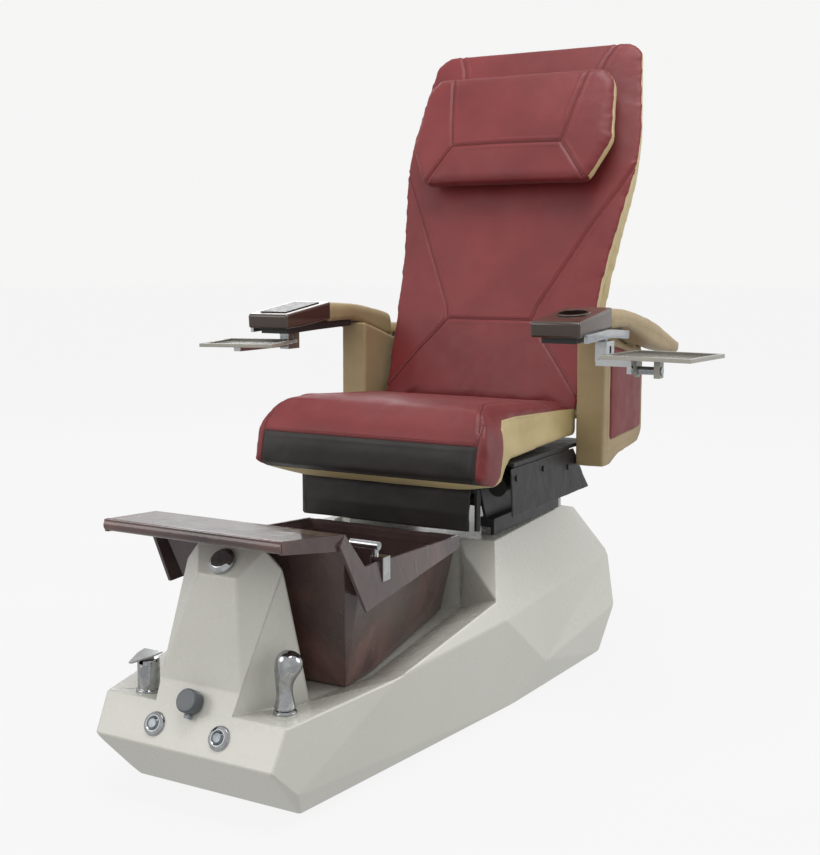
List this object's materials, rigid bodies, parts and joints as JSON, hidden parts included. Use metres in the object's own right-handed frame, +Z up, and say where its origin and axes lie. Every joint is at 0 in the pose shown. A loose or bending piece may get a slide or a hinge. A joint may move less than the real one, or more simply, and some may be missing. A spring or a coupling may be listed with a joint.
{
  "type": "pedicure spa chair",
  "caption": "Pedicure spa chair with a faceted base, foot basin, sliding seat, reclining massage back with pillow, lifting arms and swing trays.",
  "frame": {"origin": "on the floor, on the chair's centre line, midway between the front of the foot basin base and the top of the back", "axes": "+Z up, the sitter faces -Y, +X to the sitter's left"},
  "size_m": [1.1234, 1.4846, 1.4076],
  "materials": {
    "base_moulding": "satin",
    "black_steel": "satin",
    "basin_resin": "gloss",
    "chrome": "polished",
    "grey_plastic": "matte",
    "black_plastic": "matte",
    "zinc_steel": "brushed",
    "burgundy_vinyl": "satin",
    "black_vinyl": "satin",
    "tan_vinyl": "satin",
    "brown_plastic": "gloss",
    "keypad_face": "satin",
    "aluminium": "satin",
    "tray_plastic": "gloss"
  },
  "bodies": {
    "base": {"base_shell": "base_moulding", "support_frame": "black_steel", "basin": "basin_resin", "basin_drain": "chrome", "jet_motor": "black_plastic", "jet_cover": "grey_plastic", "basin_light": "grey_plastic", "water_spout": "chrome", "faucet_body": "chrome", "sprayer_socket": "chrome", "button_bezels": "chrome", "control_box": "black_plastic", "power_inlet": "black_plastic", "slide_rails": "zinc_steel", "rail_bolts": "zinc_steel", "slide_screw": "zinc_steel"},
    "seat": {"seat_frame": "black_steel", "slide_runners": "black_steel", "slide_motor": "black_plastic", "seat_cushion": "burgundy_vinyl", "front_apron": "black_vinyl", "side_skirts": "black_steel", "skirt_screws": "black_steel", "arm_brackets": "black_steel", "arm_post_left": "tan_vinyl", "arm_post_right": "tan_vinyl", "arm_panel_left": "burgundy_vinyl", "arm_panel_right": "burgundy_vinyl", "recline_actuator": "black_plastic"},
    "recline_rod": {"recline_rod": "zinc_steel"},
    "backrest": {"back_frame": "black_steel", "back_cushion": "burgundy_vinyl", "back_shell": "tan_vinyl", "massage_rails": "zinc_steel"},
    "pillow": {"pillow": "burgundy_vinyl"},
    "massage_carriage": {"massage_carriage": "black_plastic"},
    "massage_rollers": {"massage_rollers": "grey_plastic"},
    "arm_left": {"arm_shell_left": "tan_vinyl", "arm_pad_left": "brown_plastic", "pad_support_left": "black_plastic", "cup_holder": "brown_plastic", "tray_rail_left": "aluminium"},
    "arm_right": {"arm_shell_right": "tan_vinyl", "arm_pad_right": "brown_plastic", "pad_support_right": "black_plastic", "keypad": "keypad_face", "tray_rail_right": "aluminium"},
    "tray_arm_left": {"tray_bracket_left": "aluminium"},
    "tray_left": {"tray_left": "tray_plastic"},
    "tray_arm_right": {"tray_bracket_right": "aluminium", "tray_right": "tray_plastic"},
    "faucet_cap": {"faucet_cap": "chrome"},
    "faucet_lever": {"faucet_lever": "chrome"},
    "sprayer": {"sprayer_handle": "chrome"},
    "drain_knob": {"drain_knob": "chrome"},
    "drain_stopper": {"drain_stopper": "chrome"},
    "control_knob": {"control_knob": "grey_plastic"},
    "air_button_left": {"air_button_left": "chrome"},
    "air_button_right": {"air_button_right": "chrome"},
    "jet_impeller": {"jet_impeller": "grey_plastic"}
  },
  "joints": [
    {"name": "seat_slide", "type": "slide", "parent": "base", "child": "seat", "axis": [0, 1, 0], "range_m": [0, 0.1]},
    {"name": "back_recline", "type": "hinge", "parent": "seat", "child": "backrest", "pos_m": [0, 0.375, 0.52], "axis": [-1, 0, 0], "range_deg": [0, 32]},
    {"name": "recline_rod_slide", "type": "slide", "parent": "seat", "child": "recline_rod", "axis": [0, 1, 0], "range_m": [-0.05, 0]},
    {"name": "pillow_flip", "type": "hinge", "parent": "backrest", "child": "pillow", "pos_m": [0, 0.6079, 1.32299], "axis": [-1, 0, 0], "range_deg": [0, 60]},
    {"name": "massage_travel", "type": "slide", "parent": "backrest", "child": "massage_carriage", "axis": [0, 0.3633, 0.9317], "range_m": [0, 0.4]},
    {"name": "massage_roll", "type": "hinge", "parent": "massage_carriage", "child": "massage_rollers", "pos_m": [0, 0.459, 0.74564], "axis": [1, 0, 0], "continuous": true},
    {"name": "arm_lift_left", "type": "hinge", "parent": "seat", "child": "arm_left", "pos_m": [0.36, 0.48, 0.712], "axis": [-1, 0, 0], "range_deg": [0, 65]},
    {"name": "arm_lift_right", "type": "hinge", "parent": "seat", "child": "arm_right", "pos_m": [-0.36, 0.48, 0.712], "axis": [-1, 0, 0], "range_deg": [0, 65]},
    {"name": "tray_swing_left", "type": "hinge", "parent": "arm_left", "child": "tray_arm_left", "pos_m": [0.384, 0.13, 0.72], "axis": [0, 0, -1], "range_deg": [0, 90]},
    {"name": "tray_tilt_left", "type": "hinge", "parent": "tray_arm_left", "child": "tray_left", "pos_m": [0.49, 0.085, 0.684], "axis": [-1, 0, 0], "range_deg": [0, 12]},
    {"name": "tray_swing_right", "type": "hinge", "parent": "arm_right", "child": "tray_arm_right", "pos_m": [-0.384, 0.13, 0.72], "axis": [0, 0, -1], "range_deg": [0, 90]},
    {"name": "mixer_turn", "type": "hinge", "parent": "base", "child": "faucet_cap", "pos_m": [-0.131, -0.67, 0.2], "axis": [0, 0, 1], "range_deg": [-45, 45]},
    {"name": "mixer_lift", "type": "hinge", "parent": "faucet_cap", "child": "faucet_lever", "pos_m": [-0.131, -0.67, 0.21903], "axis": [-1, 0, 0], "range_deg": [0, 20]},
    {"name": "sprayer_pull", "type": "slide", "parent": "base", "child": "sprayer", "axis": [0, 0, 1], "range_m": [0, 0.06]},
    {"name": "drain_turn", "type": "hinge", "parent": "base", "child": "drain_knob", "pos_m": [0, -0.626, 0.3953], "axis": [0, -0.7316, 0.6817], "range_deg": [0, 90]},
    {"name": "stopper_lift", "type": "slide", "parent": "base", "child": "drain_stopper", "axis": [0, 0, 1], "range_m": [0, 0.012]},
    {"name": "water_control_turn", "type": "hinge", "parent": "base", "child": "control_knob", "pos_m": [0, -0.70912, 0.176], "axis": [0, -0.8748, 0.4845], "range_deg": [-135, 135]},
    {"name": "air_press_left", "type": "slide", "parent": "base", "child": "air_button_left", "axis": [0, 0.8748, -0.4845], "range_m": [0, 0.004], "stiffness_N_per_m": 400},
    {"name": "air_press_right", "type": "slide", "parent": "base", "child": "air_button_right", "axis": [0, 0.8748, -0.4845], "range_m": [0, 0.004], "stiffness_N_per_m": 400},
    {"name": "jet_spin", "type": "hinge", "parent": "base", "child": "jet_impeller", "pos_m": [0, -0.49511, 0.25], "axis": [0, 0.9493, 0.3143], "continuous": true}
  ],
  "couplings": [
    {"joint": "recline_rod_slide", "follows": "back_recline", "m_per_rad": -0.088808},
    {"joint": "stopper_lift", "follows": "drain_turn", "m_per_rad": 0.007639}
  ]
}
